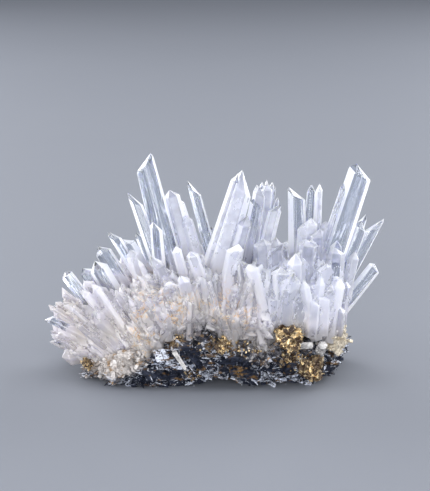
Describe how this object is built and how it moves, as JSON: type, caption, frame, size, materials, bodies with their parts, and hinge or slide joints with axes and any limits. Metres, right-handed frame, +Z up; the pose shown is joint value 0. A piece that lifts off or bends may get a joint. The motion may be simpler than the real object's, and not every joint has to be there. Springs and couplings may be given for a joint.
{
  "type": "quartz cluster",
  "caption": "Cluster of quartz points and needles fanning out of a slab of dark ore rock, with brassy pyrite grown along the join.",
  "frame": {"origin": "on the surface that the rock stands on, under the middle of the cluster's overall box", "axes": "+X along the cluster, with its tallest needle on the -X side; +Z up; -Y is the side that shows the most rock"},
  "size_m": [0.0809, 0.0353, 0.0526],
  "materials": {
    "quartz": "clear at the tips and milky towards the base, with faint beige staining",
    "ore_rock": "near-black blue-grey flaky ore with metallic glints",
    "pyrite": "rough brassy gold grains with brown tarnish"
  },
  "bodies": {
    "root": {"quartz_crystals": "quartz", "quartz_nub_right": "quartz", "quartz_stub_right": "quartz", "quartz_splinter_front": "quartz", "matrix_rock": "ore_rock", "pyrite_block_right": "pyrite", "pyrite_crust_right": "pyrite", "pyrite_crust_centre": "pyrite", "pyrite_crust_low": "pyrite", "pyrite_knob_left": "pyrite"}
  },
  "joints": []
}
